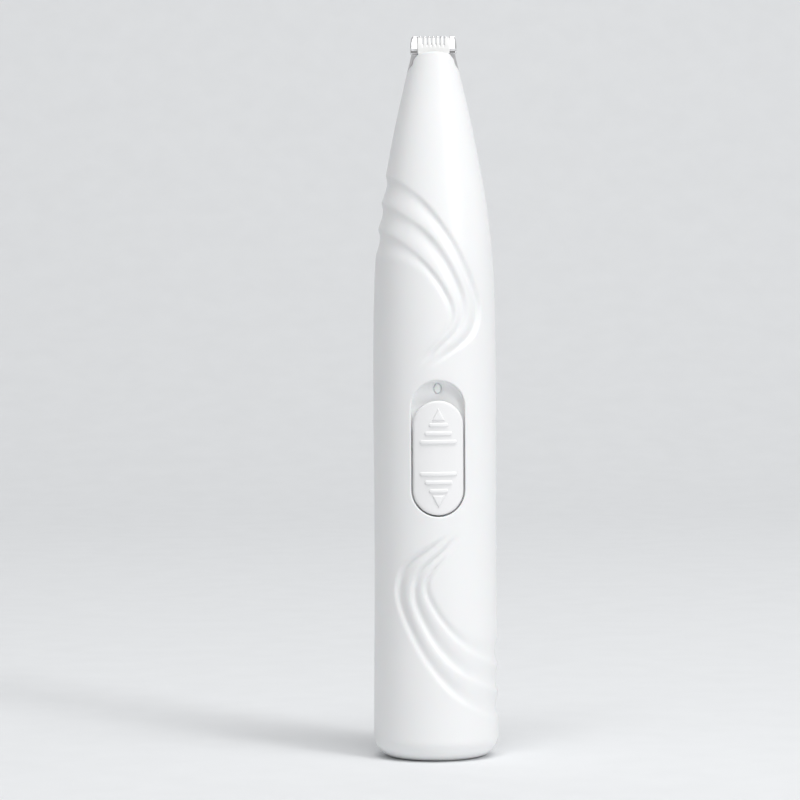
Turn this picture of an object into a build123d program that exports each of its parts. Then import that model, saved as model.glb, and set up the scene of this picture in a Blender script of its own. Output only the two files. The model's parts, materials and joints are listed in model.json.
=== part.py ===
from build123d import *
import math
import os

# Pet paw hair trimmer: a pen-shaped cordless clipper that stands on its base.
# Origin: centre of the flat base. +Z runs up to the blades, the slide button faces -Y. Millimetres.

os.makedirs("parts", exist_ok=True)

# ---------------------------------------------------------------- driving dimensions
LENGTH = 150.0                 # base to the tips of the fixed blade
BASE_FILLET = 4.5              # rounding under the base
FLOOR = 2.4                    # thickness of the closed base

# outer body: height, half width, half depth, wall thickness
STATIONS = [
    (0.0, 13.05, 12.30, 1.8),
    (12.0, 13.00, 12.25, 1.8),
    (32.0, 12.78, 12.03, 1.8),
    (58.0, 12.75, 12.00, 1.8),
    (86.0, 12.75, 12.00, 1.8),
    (96.0, 12.55, 11.75, 1.8),
    (104.0, 12.18, 11.20, 1.8),
    (110.0, 11.62, 10.50, 1.7),
    (116.5, 10.75, 9.55, 1.6),
    (124.7, 9.30, 8.10, 1.4),
    (133.0, 7.62, 6.50, 1.2),
    (141.3, 5.72, 4.95, 1.0),
    (147.6, 4.30, 3.90, 1.0),
]
CAVITY_TOP = 145.8             # the tongue is solid above this height
TONGUE_TOP = 146.7             # crown of the front tongue over the blades
TONGUE_EDGE = [(5.75, 141.2), (5.25, 143.6), (4.6, 144.6), (3.85, 145.6), (3.3, 146.2)]
TONGUE_BACK = -2.15            # back face of the tongue, clear of the moving blade
TONGUE_CLEAR_FROM = 143.4      # above this the front shell is the tongue only
REAR_TOP = 145.0               # crown of the rear shell

# slide button and its recess
BUTTON_Z = 63.1                # centre of the button when switched off
TRAVEL = 4.0                   # upward travel of the button
BUTTON_W, BUTTON_H = 10.4, 23.6
RECESS_Z = 65.05
RECESS_W, RECESS_H = 11.1, 28.1
RECESS_FLOOR = -9.6            # front face of the recess floor
RECESS_BACK = -8.4             # back face of the recess floor
POCKET_WALL = 1.2
RUNNING_GAP = 0.25             # button to recess floor
MARK_PROUD = 0.25              # height of the raised arrows and bars
MARK_OUT = 10.25               # from the button's centre to the tip of an arrow
MARK_TRIANGLE_W, MARK_TRIANGLE_H = 2.45, 2.5
MARK_BAR_T = 0.68
MARK_BARS = [(3.85, 6.8), (5.6, 5.05), (7.6, 3.3)]    # length, distance from the centre
STEM_W, STEM_H = 3.0, 4.0      # clip of the button that passes through the recess floor
LENS_Z = 77.3
LENS_W, LENS_H = 1.9, 2.4
LENS_PROUD = 0.1               # lens above the recess floor, under the button's path

# board and switch
BOARD_FRONT, BOARD_BACK = -3.2, -2.2
BOARD_W, BOARD_LOW, BOARD_HIGH = 17.0, 47.0, 86.0
SWITCH_FACE = -6.2             # front of the switch body
CARRIER_FRONT, CARRIER_BACK = -8.1, -7.1
LEVER_Z = 62.1                 # centre of the switch lever when off

# cell
CELL_R, CELL_LENGTH = 5.0, 44.0
CELL_Y, CELL_LOW = 4.6, 16.0

# motor
MOTOR_R, MOTOR_FLAT = 7.75, 6.1
MOTOR_LOW, MOTOR_HIGH = 92.0, 112.0
SHAFT_R = 1.0
BEARING_GAP = 0.05

# drive
PIN_R, THROW = 0.7, 0.6        # eccentric pin and its offset
CAM_LOW, CAM_HIGH, CAM_R = 115.0, 119.0, 3.5
PIN_TOP = 123.2
PIVOT_Z, PIVOT_R = 131.0, 0.8
FORK_HALF_GAP, FORK_HALF_W = 2.25, 4.0
TIP_Z, TIP_R = 143.0, 0.9

# blades
FIXED_FRONT, FIXED_BACK = -1.0, -0.4
BLADE_GAP = 0.05
MOVING_T = 0.8
MOVING_TOP = 149.7
TOOTH_PITCH = 0.87
SLOT_W = 0.34
DRIVER_FRONT = -2.3
BLADE_SCREWS = [(-3.2, 137.8), (3.2, 137.8)]
SEAT_FRONT, SEAT_BACK = -3.2, 3.6
SEAT_LOW, NECK_LOW, SEAT_TOP = 127.0, 135.4, 146.15

# shell screws: x, z, pillar radius
SHELL_SCREWS = [(-8.2, 8.2, 1.9), (8.2, 8.2, 1.9), (-6.9, 117.0, 1.7), (6.9, 117.0, 1.7)]
SHELL_SCREW_R, SHELL_HEAD_R, SHELL_HEAD_T = 0.8, 1.4, 1.2
HEAD_SINK = 1.8                # depth of the screw heads below the rear surface

# charging socket
SOCKET_W, SOCKET_T, SOCKET_TOP = 8.9, 3.2, 7.9
SOCKET_MOUTH = 0.3             # the socket's mouth sits this far up inside the base

WIRE_R = 0.55


# ---------------------------------------------------------------- helpers
def save(shape, node):
    """Write one node; a list of solids becomes one compound."""
    if isinstance(shape, (list, tuple)):
        shape = Compound(children=[s for item in shape for s in item.solids()])
    shape.label = node
    export_step(shape, f"parts/{node}.step")


def block(x0, x1, y0, y1, z0, z1):
    """Box between two corners."""
    return Pos((x0 + x1) / 2, (y0 + y1) / 2, (z0 + z1) / 2) * Box(x1 - x0, y1 - y0, z1 - z0)


def post(radius, z0, z1, x=0.0, y=0.0):
    """Cylinder along Z."""
    return Pos(x, y, (z0 + z1) / 2) * Cylinder(radius, z1 - z0)


def pin_y(radius, y0, y1, x, z):
    """Cylinder along Y."""
    return Pos(x, (y0 + y1) / 2, z) * Rot(90, 0, 0) * Cylinder(radius, y1 - y0)


def slab(sketch, y_back, y_front):
    """Extrude a front-view (XZ) sketch from y_back forward to y_front."""
    return extrude(Plane.XZ.offset(-y_back) * sketch, y_back - y_front)


def stadium(width, height, z, x=0.0):
    """Front-view stadium, upright, centred at x, z."""
    return Pos(x, z) * SlotOverall(height, width, rotation=90)


def outline(points):
    """Closed front-view polygon."""
    return make_face(Polyline(points, close=True))


def body(grow=0.0, use_wall=False, low=None, high=None):
    """Lofted elliptical body; use_wall shrinks each station by its wall thickness."""
    rings = []
    for z, half_w, half_d, wall in STATIONS:
        shrink = grow - wall if use_wall else grow
        rings.append(Pos(0, 0, z) * Ellipse(half_w + shrink, half_d + shrink))
    solid = loft(rings)
    if low is None and high is None:
        return solid
    low = STATIONS[0][0] if low is None else low
    high = STATIONS[-1][0] if high is None else high
    return solid & block(-20, 20, -20, 20, low, high)


def tube(points, radius):
    """Round wire along straight runs joined by tangent arcs as large as the runs allow."""
    vectors = [Vector(*p) for p in points]
    radii = []
    for a, b, c in zip(vectors, vectors[1:], vectors[2:]):
        turn = math.radians((b - a).get_angle(c - b))
        radii.append(0.45 * min((b - a).length, (c - b).length) / math.tan(turn / 2))
    path = FilletPolyline(*vectors, radius=radii) if radii else Line(*vectors)
    start = Plane(origin=vectors[0], z_dir=vectors[1] - vectors[0])
    wire = sweep(start * Circle(radius), path=path)
    expected = math.pi * radius**2 * path.length
    print(f"wire volume {wire.volume:.2f} expected {expected:.2f} radii", [round(r, 1) for r in radii])
    return wire


# ---------------------------------------------------------------- shells
def outer_body():
    solid = body()
    return fillet(solid.edges().group_by(Axis.Z)[0], BASE_FILLET)


def tongue_mask():
    """Front-view region that the front shell keeps: full body, then the arched tongue."""
    right = [(20, -5), (20, TONGUE_EDGE[0][1])] + TONGUE_EDGE
    left = [(-x, z) for x, z in reversed(right)]
    edges = [Polyline(left + right), ThreePointArc(right[-1], (0, TONGUE_TOP), left[0])]
    return make_face(edges)


def rear_mask():
    """Front-view region that the rear shell keeps: full body, then a shorter round crown."""
    right = [(20, -5), (20, 141.5), (5.75, 141.5), (4.4, 143.6), (3.4, 144.5)]
    left = [(-x, z) for x, z in reversed(right)]
    edges = [Polyline(left + right), ThreePointArc(right[-1], (0, REAR_TOP), left[0])]
    return make_face(edges)


def rib(inner, z0, z1, hole):
    """Cross rib that fills the cavity between two heights apart from a hole."""
    return (inner & block(-20, 20, -20, 20, z0, z1)) - hole


def socket_hole():
    mouth = Pos(0, 0, -1) * SlotOverall(SOCKET_W + 0.5, SOCKET_T + 0.5)
    return extrude(mouth, FLOOR + 2)


def motor_outline(radius, flat, z0, z1):
    return post(radius, z0, z1) & block(-20, 20, -flat, flat, z0, z1)


def make_front_shell(outer, inner):
    shell = outer - inner
    pocket = slab(stadium(RECESS_W + 2 * POCKET_WALL, RECESS_H + 2 * POCKET_WALL, RECESS_Z), RECESS_BACK, -13)
    shell += pocket & outer
    for z0 in (96.6, 106.2):
        shell += rib(inner, z0, z0 + 1.2, motor_outline(8.05, 6.4, z0 - 1, z0 + 3))
    for x, z, radius in SHELL_SCREWS:
        shell += pin_y(radius, -12, 0, x, z) & outer
    for x in (-6.5, 6.5):
        for z in (49.5, 83.5):
            shell += pin_y(1.1, -11, BOARD_FRONT, x, z) & outer
    shell &= block(-20, 20, -20, 0, -1, 160)
    shell &= slab(tongue_mask(), 5, -20)
    shell -= block(-20, 20, TONGUE_BACK, 5, TONGUE_CLEAR_FROM, 160)
    shell -= slab(stadium(RECESS_W, RECESS_H, RECESS_Z), RECESS_FLOOR, -20)
    stem_low = BUTTON_Z - STEM_H / 2 - 0.4
    stem_high = BUTTON_Z + TRAVEL + STEM_H / 2 + 0.4
    half = STEM_W / 2 + 0.35
    shell -= block(-half, half, RECESS_FLOOR - 1, RECESS_BACK + 1, stem_low, stem_high)
    shell -= slab(Pos(0, LENS_Z) * Ellipse(LENS_W / 2, LENS_H / 2), RECESS_BACK + 1, RECESS_FLOOR - 1)
    shell -= socket_hole()
    for x, z, _ in SHELL_SCREWS:
        shell -= pin_y(SHELL_SCREW_R, -5, 1, x, z)
    return shell


def head_seat_y(outer_half_depth):
    """Y of the bearing face under a shell screw's head."""
    return outer_half_depth - HEAD_SINK - SHELL_HEAD_T


def rear_surface_y(x, z):
    """Outer rear surface of the body above a point of the front view."""
    for (z0, a0, b0, _), (z1, a1, b1, _) in zip(STATIONS, STATIONS[1:]):
        if z0 <= z <= z1:
            share = (z - z0) / (z1 - z0)
            a = a0 + (a1 - a0) * share
            b = b0 + (b1 - b0) * share
            return b * math.sqrt(1 - (x / a) ** 2)
    raise ValueError(f"no station around {z}")


def make_rear_shell(outer, inner):
    shell = outer - inner
    for z0 in (96.6, 106.2):
        shell += rib(inner, z0, z0 + 1.2, motor_outline(8.05, 6.4, z0 - 1, z0 + 3))
    for z0 in (22.0, 52.0):
        cradle = rib(inner, z0, z0 + 1.4, post(CELL_R + 0.1, z0 - 1, z0 + 3, y=CELL_Y))
        shell += cradle & block(-20, 20, 1.6, 20, z0 - 1, z0 + 3)
    for x, z, radius in SHELL_SCREWS:
        shell += pin_y(radius, 0, 12, x, z) & outer
    shell &= block(-20, 20, 0, 20, -1, 160)
    shell &= slab(rear_mask(), 20, -5)
    shell -= socket_hole()
    for x, z, _ in SHELL_SCREWS:
        seat_y = head_seat_y(rear_surface_y(x, z))
        shell -= pin_y(SHELL_SCREW_R + 0.1, -1, 20, x, z)
        shell -= pin_y(SHELL_HEAD_R + 0.15, seat_y, 20, x, z)
    return shell


def make_shell_screws():
    screws = []
    for x, z, _ in SHELL_SCREWS:
        seat_y = head_seat_y(rear_surface_y(x, z))
        screw = pin_y(SHELL_HEAD_R, seat_y, seat_y + SHELL_HEAD_T, x, z)
        screw += pin_y(SHELL_SCREW_R, -4.5, seat_y, x, z)
        top = seat_y + SHELL_HEAD_T
        screw -= block(x - 0.9, x + 0.9, top - 0.6, top + 1, z - 0.2, z + 0.2)
        screw -= block(x - 0.2, x + 0.2, top - 0.6, top + 1, z - 0.9, z + 0.9)
        screws.append(screw)
    return screws


# ---------------------------------------------------------------- switch
def make_slide_button():
    face = stadium(BUTTON_W, BUTTON_H, BUTTON_Z)
    back = RECESS_FLOOR - RUNNING_GAP
    cap = slab(face, back, -20) & body()
    rim = cap.edges().filter_by(lambda e: e.center().Y < back - 0.5 and e.length > 2)
    cap = fillet(rim, 0.35)
    marks = []
    for side in (1, -1):
        tip = BUTTON_Z + side * MARK_OUT
        base = tip - side * MARK_TRIANGLE_H
        half = MARK_TRIANGLE_W / 2
        marks.append(outline([(-half, base), (half, base), (0, tip)]))
        for length, out in MARK_BARS:
            marks.append(Pos(0, BUTTON_Z + side * out) * SlotOverall(length, MARK_BAR_T))
    proud = body(grow=MARK_PROUD)
    for mark in marks:
        cap += slab(mark, back - 0.5, -20) & proud
    return cap + stem_block(CARRIER_BACK, back)


def stem_block(y_back, y_front, spare=0.0):
    return block(-STEM_W / 2 - spare, STEM_W / 2 + spare, y_front, y_back,
                 BUTTON_Z - STEM_H / 2 - spare, BUTTON_Z + STEM_H / 2 + spare)


def make_switch_carrier():
    plate = slab(RectangleRounded(7.0, 11.0, 1.2).moved(Location((0, BUTTON_Z - 0.5))), CARRIER_BACK, CARRIER_FRONT)
    plate -= stem_block(CARRIER_BACK + 1, CARRIER_FRONT - 1)
    low = LEVER_Z - 4.2
    for z0 in (low, low + 2.6):
        plate += block(-1.6, 1.6, CARRIER_BACK, SWITCH_FACE - 0.3, z0 - 0.8, z0)
    return plate


def make_switch_lever():
    z = LEVER_Z - 4.2 + 0.9
    lever = block(-0.9, 0.9, CARRIER_BACK + 0.1, SWITCH_FACE, z - 0.85, z + 0.85)
    shoe = block(-1.4, 1.4, SWITCH_FACE + 0.3, SWITCH_FACE + 1.3, z - 1.6, z + 1.6)
    return lever + block(-0.9, 0.9, SWITCH_FACE, SWITCH_FACE + 0.3, z - 0.85, z + 0.85) + shoe


def make_switch_body():
    z = LEVER_Z - 4.2 + 0.9 + TRAVEL / 2
    case = block(-2.6, 2.6, SWITCH_FACE, BOARD_FRONT, z - 5.5, z + 5.5)
    case -= block(-1.25, 1.25, SWITCH_FACE - 1, SWITCH_FACE + 0.3, z - 3.2, z + 3.2)
    case -= block(-1.7, 1.7, SWITCH_FACE + 0.2, SWITCH_FACE + 1.6, z - 4.0, z + 4.0)
    return case


# ---------------------------------------------------------------- electronics
def make_circuit_board():
    face = Pos(0, (BOARD_LOW + BOARD_HIGH) / 2) * RectangleRounded(BOARD_W, BOARD_HIGH - BOARD_LOW, 1.5)
    return slab(face, BOARD_BACK, BOARD_FRONT)


def make_board_parts():
    parts = []
    for i in range(4):
        parts.append(block(4.6, 5.6, BOARD_FRONT - 0.5, BOARD_FRONT, 56 + 3.2 * i, 58 + 3.2 * i))
    for i in range(3):
        parts.append(block(-6.6, -5.4, BOARD_FRONT - 0.6, BOARD_FRONT, 66 + 3.4 * i, 68 + 3.4 * i))
    coil = slab(Pos(-5.2, 57.5) * RectangleRounded(4.0, 4.0, 0.8), BOARD_FRONT, BOARD_FRONT - 1.8)
    parts.append(coil)
    return parts


def make_charge_chip():
    chip = block(2.6, 6.6, BOARD_FRONT - 1.1, BOARD_FRONT, 73.5, 78.5)
    for i in range(4):
        z = 74.2 + i * 1.2
        chip += block(2.0, 2.6, BOARD_FRONT - 0.3, BOARD_FRONT, z - 0.2, z + 0.2)
        chip += block(6.6, 7.2, BOARD_FRONT - 0.3, BOARD_FRONT, z - 0.2, z + 0.2)
    return chip


def make_light_guide():
    guide = pin_y(0.75, RECESS_BACK, BOARD_FRONT - 0.9, 0, LENS_Z)
    return guide + pin_y(1.3, RECESS_BACK, RECESS_BACK + 0.8, 0, LENS_Z)


def make_indicator_lens():
    lens = slab(Pos(0, LENS_Z) * Ellipse(LENS_W / 2, LENS_H / 2), RECESS_BACK, RECESS_FLOOR - LENS_PROUD)
    rim = lens.edges().group_by(Axis.Y)[0]
    return fillet(rim, 0.08)


def make_status_led():
    return block(-0.8, 0.8, BOARD_FRONT - 0.8, BOARD_FRONT, LENS_Z - 0.8, LENS_Z + 0.8)


def make_charging_socket():
    shell = Pos(0, 0, SOCKET_MOUTH) * extrude(SlotOverall(SOCKET_W, SOCKET_T), SOCKET_TOP - SOCKET_MOUTH)
    cavity = Pos(0, 0, SOCKET_MOUTH - 1) * extrude(SlotOverall(SOCKET_W - 0.6, SOCKET_T - 0.6), 7.0)
    return shell - cavity


def make_socket_tongue():
    return block(-3.3, 3.3, -0.35, 0.35, SOCKET_MOUTH + 0.7, SOCKET_MOUTH + 6.0)


def make_charging_board():
    return block(-5.6, 5.6, SOCKET_T / 2, SOCKET_T / 2 + 1.0, 3.0, 13.2)


def make_battery_cell():
    can = post(CELL_R, CELL_LOW, CELL_LOW + CELL_LENGTH, y=CELL_Y)
    return can + post(2.2, CELL_LOW + CELL_LENGTH, CELL_LOW + CELL_LENGTH + 0.6, y=CELL_Y)


def make_battery_rings():
    rings = []
    for z0 in (CELL_LOW + 0.8, CELL_LOW + CELL_LENGTH - 3.8):
        ring = post(CELL_R + 0.08, z0, z0 + 3.0, y=CELL_Y) - post(CELL_R, z0 - 1, z0 + 4, y=CELL_Y)
        rings.append(ring)
    return rings


def make_battery_tab(top):
    """Nickel strip over a cell end, reaching forward to its wire."""
    end = CELL_LOW + CELL_LENGTH + 0.6 if top else CELL_LOW
    step = 0.25 if top else -0.25
    z0, z1 = sorted((end, end + step))
    return block(-1.5, 1.5, CELL_Y - 5.4, CELL_Y + 2.5, z0, z1)


# ---------------------------------------------------------------- motor
def make_motor_can():
    can = motor_outline(MOTOR_R, MOTOR_FLAT, MOTOR_LOW, MOTOR_HIGH)
    can -= motor_outline(MOTOR_R - 0.7, MOTOR_FLAT - 0.7, MOTOR_LOW - 1, MOTOR_HIGH - 0.8)
    can += post(3.0, MOTOR_HIGH, MOTOR_HIGH + 1.6)
    return can - post(2.0, MOTOR_HIGH - 2, MOTOR_HIGH + 3)


def make_bearing(z0, z1):
    return post(2.0, z0, z1) - post(SHAFT_R + BEARING_GAP, z0 - 1, z1 + 1)


def make_motor_end_cap():
    cap = motor_outline(MOTOR_R, MOTOR_FLAT, MOTOR_LOW - 1.4, MOTOR_LOW)
    cap += motor_outline(MOTOR_R - 0.75, MOTOR_FLAT - 0.75, MOTOR_LOW, MOTOR_LOW + 1.0)
    cap += post(3.0, MOTOR_LOW - 2.6, MOTOR_LOW - 1.4)
    cap -= post(2.0, MOTOR_LOW - 4, MOTOR_LOW + 3)
    for x in (-5.0, 5.0):
        cap -= block(x - 0.15, x + 0.15, -1, 1, MOTOR_LOW - 3, MOTOR_LOW + 3)
    return cap


def make_motor_terminals():
    tabs = []
    for x in (-5.0, 5.0):
        tab = block(x - 0.15, x + 0.15, -1, 1, MOTOR_LOW - 4.2, MOTOR_LOW + 1.0)
        tabs.append(tab - Pos(x, 0, MOTOR_LOW - 3.2) * Rot(0, 90, 0) * Cylinder(0.4, 2))
    return tabs


def make_motor_brushes():
    brushes = []
    for side in (1, -1):
        z = MOTOR_LOW + 2.6
        x0, x1 = sorted((side * 2.1, side * 3.1))
        brush = block(x0, x1, -0.8, 0.8, z - 0.9, z + 0.9)
        a0, a1 = sorted((side * 3.1, side * 5.15))
        arm = block(a0, a1, -0.6, 0.6, z - 0.1, z + 0.1)
        leg0, leg1 = sorted((side * 4.85, side * 5.15))
        leg = block(leg0, leg1, -0.6, 0.6, MOTOR_LOW + 1.0, z + 0.1)
        brushes.append(brush + arm + leg)
    return brushes


def make_motor_magnets():
    ring = post(MOTOR_R - 0.72, MOTOR_LOW + 5, MOTOR_HIGH - 1.6) - post(5.3, MOTOR_LOW, MOTOR_HIGH)
    arcs = []
    for side in (1, -1):
        x0, x1 = sorted((side * 3.6, side * 9))
        arcs.append(ring & block(x0, x1, -4.6, 4.6, MOTOR_LOW, MOTOR_HIGH))
    return arcs


def make_armature_core():
    z0, z1 = MOTOR_LOW + 7, MOTOR_HIGH - 4
    core = post(2.2, z0, z1)
    for i in range(3):
        tooth = block(1.5, 4.2, -0.7, 0.7, z0, z1)
        cap = (post(4.9, z0, z1) - post(4.1, z0 - 1, z1 + 1)) & block(2.0, 6, -3.3, 3.3, z0, z1)
        core += Rot(0, 0, 120 * i) * (tooth + cap)
    return core - post(SHAFT_R, z0 - 1, z1 + 1)


def make_armature_windings():
    z0, z1 = MOTOR_LOW + 6.2, MOTOR_HIGH - 3.2
    coils = []
    for i in range(3):
        coil = block(2.4, 3.6, -1.7, 1.7, z0, z1) - block(2.0, 5, -0.7, 0.7, z0 + 0.8, z1 - 0.8)
        coils.append(Rot(0, 0, 120 * i) * coil)
    return coils


def make_commutator():
    z0, z1 = MOTOR_LOW + 1.4, MOTOR_LOW + 5.4
    ring = post(2.0, z0, z1) - post(SHAFT_R, z0 - 1, z1 + 1)
    for i in range(3):
        ring -= Rot(0, 0, 120 * i + 60) * block(1.5, 3, -0.12, 0.12, z0, z1 - 0.6)
    return ring


def make_motor_damper():
    ring = post(9.05, 98.0, 106.0) - motor_outline(MOTOR_R, MOTOR_FLAT, 97, 107)
    for i in range(12):
        ring -= Rot(0, 0, 30 * i + 15) * block(8.75, 10, -0.6, 0.6, 97, 107)
    return ring


# ---------------------------------------------------------------- drive
def make_rotor_shaft():
    return post(SHAFT_R, MOTOR_LOW - 2.4, CAM_HIGH - 1.0)


def make_eccentric_cam():
    cam = post(CAM_R, CAM_LOW, CAM_HIGH) - post(SHAFT_R, CAM_LOW - 1, CAM_HIGH - 1.0)
    cam -= block(-CAM_R, -0.9 - SHAFT_R, -CAM_R, CAM_R, CAM_HIGH - 1.4, CAM_HIGH + 1)
    return cam + post(PIN_R, CAM_HIGH, PIN_TOP, x=THROW)


def make_rocker_arm():
    y = 1.5
    arm = pin_y(2.4, -y, y, 0, PIVOT_Z)
    web = outline([(-FORK_HALF_W, 124.0), (FORK_HALF_W, 124.0), (2.2, PIVOT_Z), (-2.2, PIVOT_Z)])
    arm += slab(web, y, -y)
    for side in (1, -1):
        x0, x1 = sorted((side * FORK_HALF_GAP, side * FORK_HALF_W))
        arm += block(x0, x1, -y, y, CAM_HIGH + 0.8, 124.0)
    upper = outline([(-2.2, PIVOT_Z), (2.2, PIVOT_Z), (1.0, 136.0), (1.0, TIP_Z), (-1.0, TIP_Z), (-1.0, 136.0)])
    arm += slab(upper, 1.3, 0.0)
    arm += pin_y(1.0, 0.0, 1.3, 0, TIP_Z)
    arm += pin_y(TIP_R, DRIVER_FRONT + 0.1, 0.0, 0, TIP_Z)
    return arm - pin_y(PIVOT_R + BEARING_GAP, -5, 5, 0, PIVOT_Z)


def make_rocker_pin():
    return pin_y(PIVOT_R, -3.2, 3.6, 0, PIVOT_Z)


# ---------------------------------------------------------------- head
def make_blade_seat(outer):
    """Steel nose cap with a hollow neck that carries the rocker pin and both blades."""
    core = body(grow=-0.05, use_wall=True, low=SEAT_LOW, high=SEAT_TOP)
    frame_part = core & block(-20, 20, SEAT_FRONT, SEAT_BACK, SEAT_LOW, NECK_LOW)
    frame_part -= block(-4.6, 4.6, -1.9, 1.9, SEAT_LOW - 1, NECK_LOW)
    neck = core & block(-20, 20, FIXED_BACK, SEAT_BACK, NECK_LOW, SEAT_TOP)
    cap = outer & block(-20, 20, FIXED_BACK, SEAT_BACK, 141.5, SEAT_TOP)
    cap -= slab(offset(rear_mask(), 0.1), 20, -20)
    cap -= block(-20, 20, -20, 0.05, 141, TONGUE_CLEAR_FROM + 0.05)
    seat = frame_part + neck + cap
    seat -= block(-2.3, 2.3, FIXED_BACK - 1, 1.7, NECK_LOW - 1, SEAT_TOP + 1)
    seat -= block(-2.3, 2.3, -1.9, 1.9, SEAT_LOW - 1, NECK_LOW + 0.5)
    seat -= pin_y(PIVOT_R, -5, 5, 0, PIVOT_Z)
    for x, z in BLADE_SCREWS:
        seat -= pin_y(0.55, -3, 2.6, x, z)
    return seat


def make_fixed_blade():
    head = [(4.75, 146.2), (4.75, 147.6)]
    neck_out = [(3.4, 146.2), (3.4, 140.4), (4.2, 139.6), (4.2, 136.2)]
    right = Polyline([(0, 136.2)] + neck_out[::-1] + head)
    shoulder = ThreePointArc((4.75, 147.6), (4.58, 149.0), (4.1, LENGTH))
    top = Line((4.1, LENGTH), (0, LENGTH))
    half = make_face([right, shoulder, top, Line((0, LENGTH), (0, 136.2))])
    plate = slab(half + mirror(half, Plane.YZ), FIXED_BACK, FIXED_FRONT)
    plate -= block(-2.15, 2.15, -3, 1, 140.5, 144.9)
    for i in range(8):
        x = (i - 3.5) * TOOTH_PITCH
        plate -= block(x - SLOT_W / 2, x + SLOT_W / 2, -3, 1, 148.4, 151)
    for x, z in BLADE_SCREWS:
        plate -= pin_y(0.6, -3, 1, x, z)
    thin = outline([(FIXED_BACK + 0.01, 147.2), (FIXED_BACK - 0.32, 150.1), (FIXED_BACK + 0.5, 150.1),
                    (FIXED_BACK + 0.5, 147.2)])
    return plate - extrude(Plane.YZ.offset(-6) * thin, 12)


def make_moving_blade():
    right = [(2.0, 144.7), (2.6, 145.6), (3.3, 146.4), (3.3, MOVING_TOP)]
    left = [(-x, z) for x, z in reversed(right)]
    back = FIXED_FRONT - BLADE_GAP
    plate = slab(outline(right + left), back, back - MOVING_T)
    for i in range(6):
        x = (i - 2.5) * TOOTH_PITCH
        plate -= block(x - SLOT_W / 2, x + SLOT_W / 2, -3, 1, 147.7, 151)
    front = back - MOVING_T
    bevel = outline([(front - 0.1, 148.0), (front + 0.45, MOVING_TOP + 0.1), (front - 1, MOVING_TOP + 0.1),
                     (front - 1, 148.0)])
    return plate - extrude(Plane.YZ.offset(-6) * bevel, 12)


def make_blade_driver():
    back = FIXED_FRONT - BLADE_GAP
    body_part = block(-1.9, 1.9, DRIVER_FRONT, back, 140.9, 144.7)
    ledge = block(-1.6, 1.6, DRIVER_FRONT, back - MOVING_T, 144.7, 145.5)
    slot_half = TIP_R + BEARING_GAP
    return body_part + ledge - block(-slot_half, slot_half, -3, 1, TIP_Z - 1.4, TIP_Z + 1.2)


def make_blade_spring():
    plate = slab(Pos(0, 137.8) * Rectangle(8.2, 2.4), FIXED_FRONT, FIXED_FRONT - 0.15)
    prong = outline([(-1.0, 138.6), (-1.0, 139.3), (-2.35, 140.5), (-2.35, 143.6), (-2.5, 143.6),
                     (-2.5, 140.4), (-1.15, 139.2), (-1.15, 138.6)])
    for x in (-1.75, 1.25):
        plate += extrude(Plane.YZ.offset(x) * prong, 0.5)
    for x, z in BLADE_SCREWS:
        plate -= pin_y(0.6, -3, 1, x, z)
    return plate


def make_blade_screws():
    screws = []
    face = FIXED_FRONT - 0.15
    for x, z in BLADE_SCREWS:
        screw = pin_y(1.0, face - 0.7, face, x, z) + pin_y(0.55, face, 2.4, x, z)
        screw -= block(x - 0.7, x + 0.7, face - 1, face - 0.4, z - 0.15, z + 0.15)
        screw -= block(x - 0.15, x + 0.15, face - 1, face - 0.4, z - 0.7, z + 0.7)
        screws.append(screw)
    return screws


# ---------------------------------------------------------------- wires
def make_wires():
    cell_top = CELL_LOW + CELL_LENGTH + 0.85
    board = BOARD_BACK
    tag = MOTOR_LOW - 4.2
    routes = {
        "battery_wire_red": [(0.6, 0.2, cell_top), (0.6, 0.2, 65.5), (1.6, 0.2, 70.5), (4.0, 0.2, 74.0),
                             (4.0, board, 74.0)],
        "battery_wire_black": [(-1.5, 0.1, CELL_LOW - 0.8), (-5.6, 0.1, CELL_LOW - 0.8), (-8.0, 0.2, 20.5),
                               (-8.1, 0.2, 30.0), (-7.8, 0.1, 40.0), (-6.4, 0.1, 48.0), (-5.6, 0.15, 53.0),
                               (-5.6, board, 53.0)],
        "charge_wire_red": [(5.6, 2.1, 11.8), (7.4, 2.1, 11.8), (8.3, 0.6, 17.0), (8.2, 0.2, 26.0),
                            (8.0, 0.1, 36.0), (7.4, 0.1, 45.0), (6.4, 0.15, 51.5), (6.4, board, 51.5)],
        "charge_wire_black": [(-5.6, 2.1, 11.8), (-7.6, 2.1, 11.8), (-9.4, -0.6, 17.0), (-9.5, -1.4, 26.0),
                              (-9.4, -1.4, 36.0), (-8.8, -1.0, 47.0), (-7.2, 0.1, 58.0), (-7.2, board, 58.0)],
        "motor_wire_red": [(5.0, 0.0, tag), (5.0, 0.0, 84.8), (4.8, 0.2, 81.6), (4.8, board, 81.6)],
        "motor_wire_black": [(-5.0, 0.0, tag), (-5.0, 0.0, 84.8), (-4.8, 0.2, 81.6), (-4.8, board, 81.6)],
    }
    return {name: tube(route, WIRE_R) for name, route in routes.items()}


# ---------------------------------------------------------------- build
outer = outer_body()
inner = body(use_wall=True, low=FLOOR, high=CAVITY_TOP)
front_shell = make_front_shell(outer, inner)
rear_shell = make_rear_shell(outer, inner)

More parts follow.
